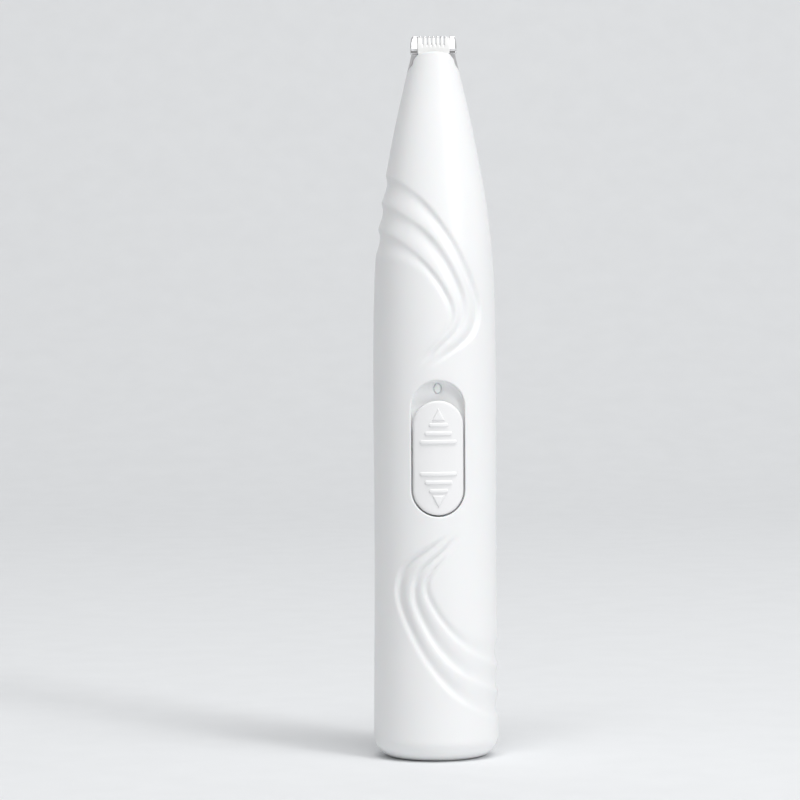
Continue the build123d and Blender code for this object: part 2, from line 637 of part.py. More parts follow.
save(front_shell, "front_shell")
save(rear_shell, "rear_shell")
save(make_shell_screws(), "shell_screws")
save(make_slide_button(), "slide_button")
save(make_switch_carrier(), "switch_carrier")
save(make_switch_lever(), "switch_lever")
save(make_switch_body(), "switch_body")
save(make_circuit_board(), "circuit_board")
save(make_board_parts(), "board_parts")
save(make_charge_chip(), "charge_chip")
save(make_light_guide(), "light_guide")
save(make_indicator_lens(), "indicator_lens")
save(make_status_led(), "status_led")
save(make_charging_socket(), "charging_socket")
save(make_socket_tongue(), "socket_tongue")
save(make_charging_board(), "charging_board")
save(make_battery_cell(), "battery_cell")
save(make_battery_rings(), "battery_rings")
save(make_battery_tab(True), "battery_tab_positive")
save(make_battery_tab(False), "battery_tab_negative")
save(make_motor_can(), "motor_can")
save(make_motor_end_cap(), "motor_end_cap")
save(make_bearing(MOTOR_HIGH - 0.8, MOTOR_HIGH + 1.6), "motor_bearing_front")
save(make_bearing(MOTOR_LOW - 2.4, MOTOR_LOW), "motor_bearing_rear")
save(make_motor_terminals(), "motor_terminals")
save(make_motor_brushes(), "motor_brushes")
save(make_motor_magnets(), "motor_magnets")
save(make_motor_damper(), "motor_damper")
save(make_armature_core(), "armature_core")
save(make_armature_windings(), "armature_windings")
save(make_commutator(), "commutator")
save(make_rotor_shaft(), "rotor_shaft")
save(make_eccentric_cam(), "eccentric_cam")
save(make_rocker_arm(), "rocker_arm")
save(make_rocker_pin(), "rocker_pin")
save(make_blade_seat(outer), "blade_seat")
save(make_fixed_blade(), "fixed_blade")
save(make_moving_blade(), "moving_blade")
save(make_blade_driver(), "blade_driver")
save(make_blade_spring(), "blade_spring")
save(make_blade_screws(), "blade_screws")
for name, wire in make_wires().items():
    save(wire, name)
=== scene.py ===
import json
import math

import bmesh
import bpy
import numpy as np
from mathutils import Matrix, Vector
from mathutils.geometry import delaunay_2d_cdt


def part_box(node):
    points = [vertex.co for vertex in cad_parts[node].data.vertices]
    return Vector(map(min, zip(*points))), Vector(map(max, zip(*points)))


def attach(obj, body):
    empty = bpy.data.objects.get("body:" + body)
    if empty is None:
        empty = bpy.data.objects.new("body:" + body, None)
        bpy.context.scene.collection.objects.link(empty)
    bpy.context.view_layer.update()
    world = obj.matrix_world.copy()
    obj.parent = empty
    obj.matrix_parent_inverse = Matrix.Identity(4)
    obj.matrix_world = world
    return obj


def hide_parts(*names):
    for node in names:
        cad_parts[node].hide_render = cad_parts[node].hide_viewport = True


# Looks of the pet paw hair trimmer. Sizes are in millimetres until a mesh is made.

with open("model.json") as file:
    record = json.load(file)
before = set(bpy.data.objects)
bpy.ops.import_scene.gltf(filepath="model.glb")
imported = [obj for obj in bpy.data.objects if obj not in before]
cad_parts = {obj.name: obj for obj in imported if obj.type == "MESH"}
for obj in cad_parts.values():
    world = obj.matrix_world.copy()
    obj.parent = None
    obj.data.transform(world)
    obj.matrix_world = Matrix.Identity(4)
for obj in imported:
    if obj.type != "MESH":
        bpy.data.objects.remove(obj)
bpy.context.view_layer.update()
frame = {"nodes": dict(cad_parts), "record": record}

MM = 0.001
DEG = math.pi / 180

# ---------------------------------------------------------------- body shape, as in the CAD model
# height, half width, half depth
STATIONS = np.array([
    (0.0, 13.05, 12.30), (12.0, 13.00, 12.25), (32.0, 12.78, 12.03), (58.0, 12.75, 12.00),
    (86.0, 12.75, 12.00), (96.0, 12.55, 11.75), (104.0, 12.18, 11.20), (110.0, 11.62, 10.50),
    (116.5, 10.75, 9.55), (124.7, 9.30, 8.10), (133.0, 7.62, 6.50), (141.3, 5.72, 4.95),
    (147.6, 4.30, 3.90),
])
PROFILE_TOP = 147.5                                # the profile is not read above this height
WALL_AT = [(0, 1.8), (104, 1.8), (116, 1.6), (133, 1.2), (142, 1.0), (150, 1.0)]    # height, wall
BASE_FILLET = 4.5
SOCKET_HALF_STRAIGHT, SOCKET_R = 2.85, 1.85       # slot in the base round the charging socket
SOCKET_WALL_TOP = 1.8

# front-view outline of the tongue and of the rear crown: height, half width
TONGUE_EDGE = [(141.2, 5.75), (143.6, 5.25), (144.6, 4.6), (145.6, 3.85), (146.2, 3.3)]
TONGUE_RISE = 0.5                                  # middle of the top edge above its ends
TONGUE_BACK = -2.1                                 # y of the tongue's back face
TONGUE_NARROWS = 142.0, 144.2                      # the side edges come forward to the tongue's back here
TONGUE_SPLITS = 143.0, 143.8                       # the front half becomes the tongue only here
REAR_EDGE = [(141.5, 5.75), (143.6, 4.4), (144.5, 3.4)]
REAR_RISE = 0.5

# recess of the slide button
RECESS_GAP = 0.35
BUTTON_LIFT = 0.25                                 # button in front of the recess floor
RECESS_FLOOR, RECESS_BACK = -9.6, -8.2             # y of the floor and of the inner skin behind it
RECESS_TOP_SPARE = 4.2                             # recess above the button when it is off
RIM_ROUND, FLOOR_ROUND = 0.28, 0.45

# screw wells in the rear shell: x, z
SCREW_WELLS = [(-8.2, 8.2), (8.2, 8.2), (-6.9, 117.0), (6.9, 117.0)]
WELL_R, WELL_DEPTH = 1.55, 3.0

# wave relief: each crest line runs from the back of the left side round the front, turns at its
# apex and runs back down to a fading tail. Degrees round the body from the front centre, height.
CREST_LINES = [
    [(-130, 121.8), (-93, 121.4), (-62, 120.9), (-38, 119.2), (-15, 116.0), (4, 111.5), (22, 105.5),
     (36, 99.5), (43.5, 94.3), (37, 89.2), (18, 85.8), (-8, 82.0)],
    [(-130, 116.0), (-93, 115.7), (-66, 115.2), (-42, 113.6), (-17, 110.6), (3, 106.0), (18, 100.3),
     (26, 95.0), (20, 89.9), (2, 86.2), (-19, 81.6)],
    [(-130, 110.4), (-93, 110.2), (-70, 109.9), (-48, 108.6), (-24, 105.6), (-5, 101.4), (8, 97.0),
     (13.5, 93.0), (7, 89.8), (-9, 86.3), (-27, 81.9)],
    [(-130, 104.8), (-93, 104.6), (-70, 104.5), (-48, 103.9), (-26, 102.2), (-9, 98.8), (2.5, 94.8),
     (6.2, 92.0), (2, 89.6), (-12, 86.2), (-29, 82.2)],
]
RELIEF_DEPTH = 0.58
RELIEF_FULL_WIDTH = 5.6                            # groove width at which it is at full depth
RELIEF_CENTRE_Z = 65.0                             # the lower group is the upper one turned half round here
UPPER_TURN, UPPER_DROP = 2.5 * DEG, 0.3            # how far round to the right, and how much lower
LOWER_TURN, LOWER_DROP = -0.5 * DEG, 0.5
GRIP_R = 12.6                                      # radius that turns degrees into surface length

ROW_STEP, COLUMN_STEP = 0.42, 0.40
TOP_ROUND = 0.3                                    # rounding of the top edges

# blades
TOOTH_PITCH, TOOTH_SLOT = 0.87, 0.33
MOVING_ROOT, FIXED_ROOT = 147.75, 148.45           # bottom of the slots between the teeth
SEAT_LINE = 146.36                                 # top of the line across the fixed blade


# ---------------------------------------------------------------- where things are, from the frame
def box_mm(node):
    """Lowest and highest corner of a node at rest."""
    low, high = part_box(node)
    return np.array(low) / MM, np.array(high) / MM


button_low, button_high = box_mm("slide_button")
BUTTON_W, BUTTON_H = button_high[0] - button_low[0], button_high[2] - button_low[2]
BUTTON_Z = (button_high[2] + button_low[2]) / 2
RECESS_W = BUTTON_W + 2 * RECESS_GAP
RECESS_H = BUTTON_H + RECESS_GAP + RECESS_TOP_SPARE
RECESS_Z = button_low[2] - RECESS_GAP + RECESS_H / 2
lens_low, lens_high = box_mm("indicator_lens")
LENS_W, LENS_H = lens_high[0] - lens_low[0], lens_high[2] - lens_low[2]
LENS_Z = (lens_high[2] + lens_low[2]) / 2
fixed_low, fixed_high = box_mm("fixed_blade")
moving_low, moving_high = box_mm("moving_blade")


# ---------------------------------------------------------------- small maths
def spline(xs, ys):
    """Natural cubic spline through the points, as a function."""
    xs, ys = np.asarray(xs, float), np.asarray(ys, float)
    n, h = len(xs), np.diff(xs)
    system, rhs = np.eye(n), np.zeros(n)
    for i in range(1, n - 1):
        system[i, i - 1:i + 2] = h[i - 1], 2 * (h[i - 1] + h[i]), h[i]
        rhs[i] = 6 * ((ys[i + 1] - ys[i]) / h[i] - (ys[i] - ys[i - 1]) / h[i - 1])
    m = np.linalg.solve(system, rhs)

    def at(x):
        x = np.asarray(x, float)
        i = np.clip(np.searchsorted(xs, x) - 1, 0, n - 2)
        up, down = xs[i + 1] - x, x - xs[i]
        curve = (m[i] * up**3 + m[i + 1] * down**3) / (6 * h[i])
        curve = curve + (ys[i] / h[i] - m[i] * h[i] / 6) * up
        return curve + (ys[i + 1] / h[i] - m[i + 1] * h[i] / 6) * down

    return at


def smooth(x, low, high):
    """Soft step from 0 at low to 1 at high."""
    t = np.clip((np.asarray(x, float) - low) / (high - low), 0, 1)
    return t * t * (3 - 2 * t)


half_w = spline(STATIONS[:, 0], STATIONS[:, 1])
half_d = spline(STATIONS[:, 0], STATIONS[:, 2])


def wall(z):
    """Wall thickness of the covers at a height."""
    return np.interp(z, *zip(*WALL_AT))


# ---------------------------------------------------------------- wave relief
def crest_polyline(points):
    """Fine line through a crest's points, in millimetres round the body and up."""
    p = np.array(points, float)
    p[:, 0] *= DEG * GRIP_R
    t = np.concatenate([[0], np.cumsum(np.hypot(*np.diff(p, axis=0).T))])
    fine = np.linspace(0, t[-1], 220)
    return np.column_stack([spline(t, p[:, 0])(fine), spline(t, p[:, 1])(fine)])


CRESTS = [crest_polyline(points) for points in CREST_LINES]


def beside(line, points):
    """Signed distance to a line, positive on its upper side, and where along it that point is."""
    start, run = line[:-1], np.diff(line, axis=0)
    length2 = (run**2).sum(1)
    distance, along = np.empty(len(points)), np.empty(len(points))
    for low in range(0, len(points), 4000):
        q = points[low:low + 4000, None, :] - start[None]
        t = np.clip((q * run).sum(2) / length2, 0, 1)
        gap2 = ((q - t[..., None] * run) ** 2).sum(2)
        k = gap2.argmin(1)
        rows = np.arange(len(k))
        cross = run[k, 0] * q[rows, k, 1] - run[k, 1] * q[rows, k, 0]
        distance[low:low + 4000] = np.sign(cross) * np.sqrt(gap2[rows, k])
        along[low:low + 4000] = (k + t[rows, k]) / len(start)
    return distance, along


def relief_group(angle, z):
    """Depth of the upper group of grooves."""
    points = np.column_stack([angle.ravel() * GRIP_R, z.ravel()])
    depth = np.zeros(len(points))
    near = (points[:, 1] > 80) & (points[:, 1] < 124) & (np.abs(points[:, 0]) < 132 * DEG * GRIP_R)
    turn = points[near, 0] / GRIP_R / DEG
    skew = 1.6 + 2.0 * smooth(turn, -72, 5)        # the wall is steeper towards the front
    deepest = 1 / (1 + skew)
    shallower = 1 - 0.48 * smooth(turn, -88, -66) * (1 - smooth(turn, -34, -8))
    sides = [beside(line, points[near]) for line in CRESTS]
    cut = np.zeros(near.sum())
    for (d0, t0), (d1, t1) in zip(sides, sides[1:]):
        inside = (d0 <= 0) & (d1 >= 0)
        width = np.abs(d0) + np.abs(d1) + 1e-9
        f = np.abs(d0) / width
        shape = f * (1 - f) ** skew / (deepest * (1 - deepest) ** skew)
        size = RELIEF_DEPTH * np.minimum(width / RELIEF_FULL_WIDTH, 1.2) ** 0.45 * shallower
        along = (t0 + t1) / 2
        size *= (1 + 0.4 * smooth(along, 0.5, 0.68)) * (1 - smooth(along, 0.9, 1.0))
        cut = np.where(inside, shape * size, cut)
    depth[near] = cut * smooth(turn, -128, -98)
    return depth.reshape(angle.shape)


def relief(angle, z):
    """Depth of both groups of grooves; the lower one is the upper one turned half round."""
    wrapped = (angle + math.pi) % (2 * math.pi) - math.pi
    upper = relief_group(wrapped - UPPER_TURN, z + UPPER_DROP)
    return upper + relief_group(LOWER_TURN - wrapped, 2 * RELIEF_CENTRE_Z - z - LOWER_DROP)


# ---------------------------------------------------------------- mesh collector
class Piece:
    """Collects vertices in millimetres and faces, then makes one object."""

    def __init__(self):
        self.points, self.faces, self.count = [], [], 0

    def add(self, points):
        points = np.asarray(points, float).reshape(-1, 3)
        self.points.append(points)
        self.count += len(points)
        return np.arange(self.count - len(points), self.count)

    def strip(self, a, b, closed=False):
        """Quads between two index rows of the same length."""
        n = len(a)
        for i in range(n if closed else n - 1):
            j = (i + 1) % n
            self.faces.append((a[i], a[j], b[j], b[i]))

    def build(self, name):
        """Smooth object whose faces all look outward."""
        bm = bmesh.new()
        verts = [bm.verts.new(p) for p in (np.concatenate(self.points) * MM).tolist()]
        for face in self.faces:
            corners = list(dict.fromkeys(int(i) for i in face))
            if len(corners) > 2 and not bm.faces.get([verts[i] for i in corners]):
                bm.faces.new([verts[i] for i in corners]).smooth = True
        bmesh.ops.delete(bm, geom=[v for v in bm.verts if not v.link_faces], context="VERTS")
        bmesh.ops.recalc_face_normals(bm, faces=bm.faces)
        mesh = bpy.data.meshes.new(name)
        bm.to_mesh(mesh)
        bm.free()
        obj = bpy.data.objects.new(name, mesh)
        bpy.context.scene.collection.objects.link(obj)
        return obj


def triangulate(outline_points, loops, extra, keep):
    """Constrained triangles over front-view points. Returns the points used and the kept triangles."""
    points = [tuple(p) for p in outline_points]
    edges = [(i, (i + 1) % len(points)) for i in range(len(points))]
    for loop in loops:
        first = len(points)
        points += [tuple(p) for p in loop]
        edges += [(first + i, first + (i + 1) % len(loop)) for i in range(len(loop))]
    points += [tuple(p) for p in extra]
    made, _, faces, source, _, _ = delaunay_2d_cdt([Vector(p) for p in points], edges, [], 0, 1e-6)
    made = np.array([tuple(v) for v in made])
    kept = [f for f in faces if keep(*made[list(f)].mean(0))]
    return made, kept, source


# ---------------------------------------------------------------- front-view outlines
def stadium(width, height, x, z, count=132):
    """Upright stadium, anticlockwise seen with z up, as front-view points."""
    r = width / 2
    straight = height / 2 - r
    arc = count // 2 - 12
    loop = []
    for side, start in ((1, 0), (-1, 180)):
        for i in range(arc + 1):
            angle = (start + 180 * i / arc) * DEG
            loop.append((x + r * math.cos(angle), z + side * straight + r * math.sin(angle)))
        for i in range(1, 12):
            share = i / 12
            loop.append((x - side * r, z + side * straight * (1 - 2 * share)))
    return np.array(loop)


def stadium_gap(width, height, x0, z0, x, z):
    """How far a point is outside a stadium, negative inside."""
    r = width / 2
    straight = height / 2 - r
    return np.hypot(x - x0, np.maximum(np.abs(z - z0) - straight, 0)) - r


def ellipse(width, height, x, z, count=48):
    """Ellipse, anticlockwise, as front-view points."""
    angles = np.arange(count) * 2 * math.pi / count
    return np.column_stack([x + width / 2 * np.cos(angles), z + height / 2 * np.sin(angles)])


# ---------------------------------------------------------------- body skin
def front_y(x, z, grow=0.0):
    """Y of the front body surface at a front-view point."""
    a, b = half_w(z) + grow, half_d(z) + grow
    return -b * np.sqrt(np.clip(1 - (x / a) ** 2, 0, 1))


def socket_point(angle):
    """Outline of the slot in the base in the direction of each angle."""
    dx, dy = np.sin(angle), -np.cos(angle)
    flat = SOCKET_R / np.maximum(np.abs(dy), 1e-9)
    c = SOCKET_HALF_STRAIGHT * np.abs(dx)
    round_end = c + np.sqrt(np.maximum(c**2 - SOCKET_HALF_STRAIGHT**2 + SOCKET_R**2, 0))
    reach = np.where(np.abs(dx) * flat <= SOCKET_HALF_STRAIGHT, flat, round_end)
    return dx * reach, dy * reach


class Half:
    """One half of the body: a fine outer skin, a parting face and a plain inner skin."""

    def __init__(self, facing, edge, rise):
        self.facing = facing                      # 0 for the front half, pi for the rear half
        self.edge = edge
        self.rise = rise
        self.top = edge[-1][0]
        self.rows = self.row_list()
        self.columns = self.column_list()
        self.outer, self.inner = self.surfaces()
        self.piece = Piece()
        self.index = self.piece.add(self.outer).reshape(self.outer.shape[:2])
        self.open = np.zeros((len(self.rows) - 1, len(self.columns) - 1), bool)

    def row_list(self):
        """(kind, value) rows from the base slot up to the top edge."""
        rows = [("mouth", t) for t in (0.0, 0.5, 1.0)]
        rows += [("floor", t) for t in np.linspace(0.15, 1, 7)]
        rows += [("fillet", 90 - a) for a in np.linspace(6, 84, 14)]
        count = int((self.top - BASE_FILLET) / ROW_STEP)
        rows += [("side", z) for z in np.linspace(BASE_FILLET, self.top - TOP_ROUND, count)]
        rows += [("curl", a) for a in (22, 45, 68, 90)]
        return rows

    def column_list(self):
        """(share of the half turn from -1 to 1, curl degrees) columns."""
        count = int(math.pi * GRIP_R / COLUMN_STEP)
        middle = [(u, 0) for u in np.linspace(-1, 1, count)]
        curl = (30, 60, 90)
        return [(-1, -a) for a in curl[::-1]] + middle + [(1, a) for a in curl]

    def edge_angle(self, z):
        """Angle from the middle of this half to its edge: 90 degrees, less on the tongue or crown."""
        zs, ws = zip(*self.edge)
        reach = np.interp(z, zs, ws) / half_w(min(z, PROFILE_TOP))
        angle = math.pi / 2 if z < zs[0] else math.asin(min(reach, 1))
        if self.facing == 0:
            behind = math.pi / 2 - math.acos(-TONGUE_BACK / half_d(min(z, PROFILE_TOP)))
            angle = min(angle, math.pi / 2 - behind * float(smooth(z, *TONGUE_NARROWS)))
        return angle

    def surfaces(self):
        """Outer and inner skin points, row by row."""
        shares = np.array([u for u, _ in self.columns])
        curls = np.array([c for _, c in self.columns]) * DEG
        sign = 1 if self.facing == 0 else -1
        outer, inner = [], []
        for kind, value in self.rows:
            z0 = {"side": value, "curl": self.top - TOP_ROUND}.get(kind, BASE_FILLET)
            edge_round = 0.1 + 0.2 * smooth(z0, 142.5, 144.5)
            reach = self.edge_angle(z0)
            u = shares * (reach - edge_round / half_w(min(z0, PROFILE_TOP)))
            angle = u + self.facing
            z = z0 + self.rise * (1 - shares**2) * smooth(z0, self.top - 3.5, self.top)
            body_z = np.minimum(z, PROFILE_TOP)
            a, b, t = half_w(body_z), half_d(body_z), wall(z)
            inset, level = 0 * angle, z
            inner_inset, inner_level = t, z
            if kind == "fillet":
                inset = BASE_FILLET * (1 - math.cos(value * DEG)) + 0 * angle
                level = BASE_FILLET * (1 - math.sin(value * DEG)) + 0 * angle
                inner_inset = BASE_FILLET - (BASE_FILLET - t) * math.cos(value * DEG)
                inner_level = BASE_FILLET - (BASE_FILLET - t) * math.sin(value * DEG)
            if kind in ("floor", "mouth"):
                inset = BASE_FILLET + 0 * angle
                inner_inset, level = inset, 0 * angle
                inner_level = SOCKET_WALL_TOP + 0 * angle
            turned_in = math.cos(value * DEG) if kind == "curl" else 1.0
            inset = inset + edge_round * (1 - np.cos(curls) * turned_in)
            if kind == "curl":
                level = level + TOP_ROUND * math.sin(value * DEG)
            depth = relief(angle, z) if kind == "side" else 0.0
            right, front = np.sin(angle), -np.cos(angle)
            out = np.stack([(a - inset - depth) * right, (b - inset - depth) * front, level], -1)
            sideways = edge_round * turned_in * np.sin(curls)
            out += np.stack([-front, right, 0 * angle], -1) * sideways[:, None]
            ins = np.stack([(a - inner_inset) * right, (b - inner_inset) * front, inner_level], -1)
            if kind in ("floor", "mouth"):
                sx, sy = socket_point(angle)
                share = value if kind == "floor" else 0.0
                for points in (out, ins):
                    points[:, 0] = sx + (points[:, 0] - sx) * share
                    points[:, 1] = sy + (points[:, 1] - sy) * share
                if kind == "mouth":
                    out[:, 2] = SOCKET_WALL_TOP * (1 - value)
            if self.facing == 0:
                back = TONGUE_BACK * smooth(z, *TONGUE_SPLITS)
                ins[:, 1] = np.minimum(ins[:, 1], back)
                if abs(z0 - RECESS_Z) < RECESS_H / 2 + 3.5:     # passes behind the recess
                    ins[:, 1] = np.maximum(ins[:, 1], RECESS_BACK)
                out[:, 1] = np.minimum(out[:, 1], back - 0.03 * smooth(z, *TONGUE_SPLITS))
            else:
                ins[:, 1] = np.maximum(ins[:, 1], 0)
                for well_x, well_z in SCREW_WELLS:              # passes behind the wells
                    if abs(z0 - well_z) < 5 and kind in ("side", "fillet"):
                        behind = max(-front_y(well_x, well_z) - WELL_DEPTH - 0.8, 0)
                        near = np.abs(ins[:, 0] - well_x) < 4.6
                        ins[:, 1] = np.where(near, np.minimum(ins[:, 1], behind), ins[:, 1])
            out[:, 1] = sign * np.minimum(sign * out[:, 1], 0)
            outer.append(out)
            inner.append(ins)
        return np.array(outer), np.array(inner)

    def cut_window(self, x0, x1, z0, z1, loops, keep):
        """Replace the skin over a front-view rectangle by triangles round the given loops."""
        side_rows = [i for i, (kind, _) in enumerate(self.rows) if kind == "side"]
        heights = np.array([self.rows[i][1] for i in side_rows])
        i0 = side_rows[int(np.searchsorted(heights, z0)) - 1]
        i1 = side_rows[int(np.searchsorted(heights, z1))]
        xs = self.outer[(i0 + i1) // 2, :, 0]
        inside = np.where((xs > x0) & (xs < x1))[0]
        j0, j1 = inside[0], inside[-1]
        self.open[i0:i1, j0:j1] = True
        ring = [(i0, j) for j in range(j0, j1)] + [(i, j1) for i in range(i0, i1)]
        ring += [(i1, j) for j in range(j1, j0, -1)] + [(i, j0) for i in range(i1, i0, -1)]
        ring_points = [self.outer[i, j][[0, 2]] for i, j in ring]
        extra = []
        for i in range(i0 + 1, i1):
            for j in range(j0 + 1, j1):
                x, _, z = self.outer[i, j]
                if keep(x, z, 0.22):
                    extra.append((x, z))
        border = np.array(ring_points)
        made, faces, source = triangulate(ring_points, loops, extra,
                                          lambda x, z: keep(x, z, 0.0) and inside_polygon(border, x, z))
        x, z = made[:, 0], made[:, 1]
        y = front_y(x, z) * (1 if self.facing == 0 else -1)
        lookup = list(self.piece.add(np.column_stack([x, y, z])))
        at = {s: k for k, group in enumerate(source) for s in group}
        for s, (i, j) in enumerate(ring):
            lookup[at[s]] = self.index[i, j]
        for face in faces:
            self.piece.faces.append(tuple(lookup[v] for v in face))
        rims, first = [], len(ring)
        for loop in loops:
            rims.append(np.array([lookup[at[first + k]] for k in range(len(loop))]))
            first += len(loop)
        return rims

    def close(self):
        """Outer faces, parting face and inner skin."""
        rows, columns = self.index.shape
        for i in range(rows - 1):
            for j in range(columns - 1):
                if not self.open[i, j]:
                    corners = ((i, j), (i, j + 1), (i + 1, j + 1), (i + 1, j))
                    self.piece.faces.append(tuple(self.index[corner] for corner in corners))
        ring = [(0, j) for j in range(columns - 1)] + [(i, columns - 1) for i in range(rows - 1)]
        ring += [(rows - 1, j) for j in range(columns - 1, 0, -1)] + [(i, 0) for i in range(rows - 1, 0, -1)]
        coarse = [(i, j) for i in range(5, rows - 5, 7) for j in range(6, columns - 6, 7)]
        all_cells = ring + coarse
        made, faces, source = triangulate([(j, i) for i, j in ring], [], [(j, i) for i, j in coarse],
                                          lambda j, i: True)
        order = [all_cells[s[0]] for s in source]
        inner = self.piece.add([self.inner[i, j] for i, j in order])
        for face in faces:
            self.piece.faces.append(tuple(inner[v] for v in face[::-1]))
        place = {cell: inner[k] for k, cell in enumerate(order)}
        ring_outer = [self.index[i, j] for i, j in ring]
        ring_inner = [place[cell] for cell in ring]
        self.piece.strip(ring_inner, ring_outer, closed=True)


def sink(piece, loop, rings):
    """Quads from a rim down through rings of (outline, y); returns the last ring."""
    for outline, y in rings:
        ring = piece.add(np.column_stack([outline[:, 0], y + 0 * outline[:, 0], outline[:, 1]]))
        piece.strip(loop, ring, closed=True)
        loop = ring
    return loop


def cap(piece, rim, rim_outline, holes, y_of, spacing, keep):
    """Fill a rim in the front view, leaving holes. Returns the rims of the holes."""
    low, high = rim_outline.min(0), rim_outline.max(0)
    xs = np.arange(low[0] + spacing / 2, high[0], spacing)
    zs = np.arange(low[1] + spacing / 2, high[1], spacing)
    extra = [(x, z) for x in xs for z in zs if keep(x, z, 0.4 * spacing)]
    made, faces, source = triangulate(rim_outline, holes, extra, lambda x, z: keep(x, z, 0.0))
    count = len(rim_outline)
    y = y_of(made[:, 0], made[:, 1])
    fresh = piece.add(np.column_stack([made[:, 0], y, made[:, 1]]))
    lookup, rims, first = list(fresh), [], count
    at = {s: k for k, group in enumerate(source) for s in group}
    for s in range(count):
        lookup[at[s]] = rim[s]
    for face in faces:
        piece.faces.append(tuple(lookup[v] for v in face))
    for hole in holes:
        rims.append(np.array([lookup[at[first + i]] for i in range(len(hole))]))
        first += len(hole)
    return rims


def grown(outline, amount):
    """Outline moved outward by amount; it runs anticlockwise."""
    ahead = np.roll(outline, -1, axis=0) - outline
    ahead /= np.linalg.norm(ahead, axis=1)[:, None]
    behind = np.roll(ahead, 1, axis=0)
    n0 = np.column_stack([behind[:, 1], -behind[:, 0]])
    n1 = np.column_stack([ahead[:, 1], -ahead[:, 0]])
    miter = (n0 + n1) / (1 + (n0 * n1).sum(1))[:, None]
    return outline + amount * miter


def inside_polygon(outline, x, z):
    """Whether a point is inside an outline, by counting the edges it has on its right."""
    a, b = outline, np.roll(outline, -1, axis=0)
    crossing = (a[:, 1] > z) != (b[:, 1] > z)
    slope = (b[:, 0] - a[:, 0]) / np.where(b[:, 1] == a[:, 1], 1e-12, b[:, 1] - a[:, 1])
    return bool((crossing & (x < a[:, 0] + (z - a[:, 1]) * slope)).sum() % 2)


def densified(points, step):
    """Polygon with its straight edges divided into pieces of about step."""
    points = np.asarray(points, float)
    out = []
    for a, b in zip(points, np.roll(points, -1, axis=0)):
        n = max(1, int(np.linalg.norm(b - a) / step))
        out += [a + (b - a) * i / n for i in range(n)]
    return np.array(out)


def round_steps(radius, count=4):
    """(inset, drop) pairs round a quarter circle, from the side wall to the top face."""
    angles = [90 * DEG * i / count for i in range(count + 1)]
    return [(radius * (1 - math.cos(a)), radius * (1 - math.sin(a))) for a in angles]


# ---------------------------------------------------------------- covers
def front_cover():
    """Front half with the recess of the slider and the well of the lens."""
    half = Half(0.0, TONGUE_EDGE, TONGUE_RISE)
    rim = stadium(RECESS_W + 2 * RIM_ROUND, RECESS_H + 2 * RIM_ROUND, 0, RECESS_Z)

    def keep(x, z, margin):
        return stadium_gap(RECESS_W + 2 * RIM_ROUND, RECESS_H + 2 * RIM_ROUND, 0, RECESS_Z, x, z) > margin

    low, high = RECESS_Z - RECESS_H / 2 - 2, RECESS_Z + RECESS_H / 2 + 2
    loop, = half.cut_window(-8.2, 8.2, low, high, [rim], keep)
    rings = []
    for inset, drop in round_steps(RIM_ROUND)[::-1][1:]:
        outline = stadium(RECESS_W + 2 * inset, RECESS_H + 2 * inset, 0, RECESS_Z)
        rings.append((outline, front_y(outline[:, 0], outline[:, 1]) + drop))
    for inset, drop in round_steps(FLOOR_ROUND, 8):
        outline = stadium(RECESS_W - 2 * inset, RECESS_H - 2 * inset, 0, RECESS_Z)
        rings.append((outline, RECESS_FLOOR - drop))
    loop = sink(half.piece, loop, rings)
    hole = ellipse(LENS_W, LENS_H, 0, LENS_Z)
    shaft = ellipse(LENS_W - 0.08, LENS_H - 0.08, 0, LENS_Z)

    def floor_keep(x, z, margin):
        w, h = RECESS_W - 2 * FLOOR_ROUND, RECESS_H - 2 * FLOOR_ROUND
        in_hole = (x / (LENS_W / 2 + margin)) ** 2 + ((z - LENS_Z) / (LENS_H / 2 + margin)) ** 2 < 1
        return stadium_gap(w, h, 0, RECESS_Z, x, z) < -margin and not in_hole

    rim, = cap(half.piece, loop, outline, [hole], lambda x, z: RECESS_FLOOR + 0 * x, 0.9, floor_keep)
    well = sink(half.piece, rim, [(shaft, RECESS_FLOOR + 0.05), (shaft, RECESS_FLOOR + 0.9)])
    half.piece.faces.append(tuple(well))
    half.close()
    return half.piece.build("front_cover_moulding")


def rear_cover():
    """Rear half with the wells of the four screws."""
    half = Half(math.pi, REAR_EDGE, REAR_RISE)
    for x0, z0 in SCREW_WELLS:
        rim = ellipse(2 * WELL_R + 0.3, 2 * WELL_R + 0.3, x0, z0)

        def keep(x, z, margin, x0=x0, z0=z0):
            return math.hypot(x - x0, z - z0) > WELL_R + 0.15 + margin

        loop, = half.cut_window(x0 - 2.4, x0 + 2.4, z0 - 2.4, z0 + 2.4, [rim], keep)
        wall_outline = ellipse(2 * WELL_R, 2 * WELL_R, x0, z0)
        surface = -front_y(wall_outline[:, 0], wall_outline[:, 1])
        bottom = -front_y(x0, z0) - WELL_DEPTH
        loop = sink(half.piece, loop, [(wall_outline, surface - 0.15), (wall_outline, bottom)])
        half.piece.faces.append(tuple(loop))
    half.close()
    return half.piece.build("rear_cover_moulding")


# ---------------------------------------------------------------- thumb slider
def raised_form(piece, outline, rings, spacing):
    """Stack of rings (growth, surface) from the hidden back to a top face filled on the last surface."""
    loops = []
    for amount, surface in rings:
        rim = grown(outline, amount)
        loops.append(piece.add(np.column_stack([rim[:, 0], surface(rim[:, 0], rim[:, 1]), rim[:, 1]])))
    piece.faces.append(tuple(loops[0]))
    for lower, upper in zip(loops, loops[1:]):
        piece.strip(lower, upper, closed=True)

    def keep(x, z, margin):
        if margin == 0:
            return inside_polygon(rim, x, z)
        near = np.hypot(rim[:, 0] - x, rim[:, 1] - z).min()
        return near > margin and inside_polygon(rim, x, z)

    cap(piece, loops[-1], rim, [], surface, spacing, keep)


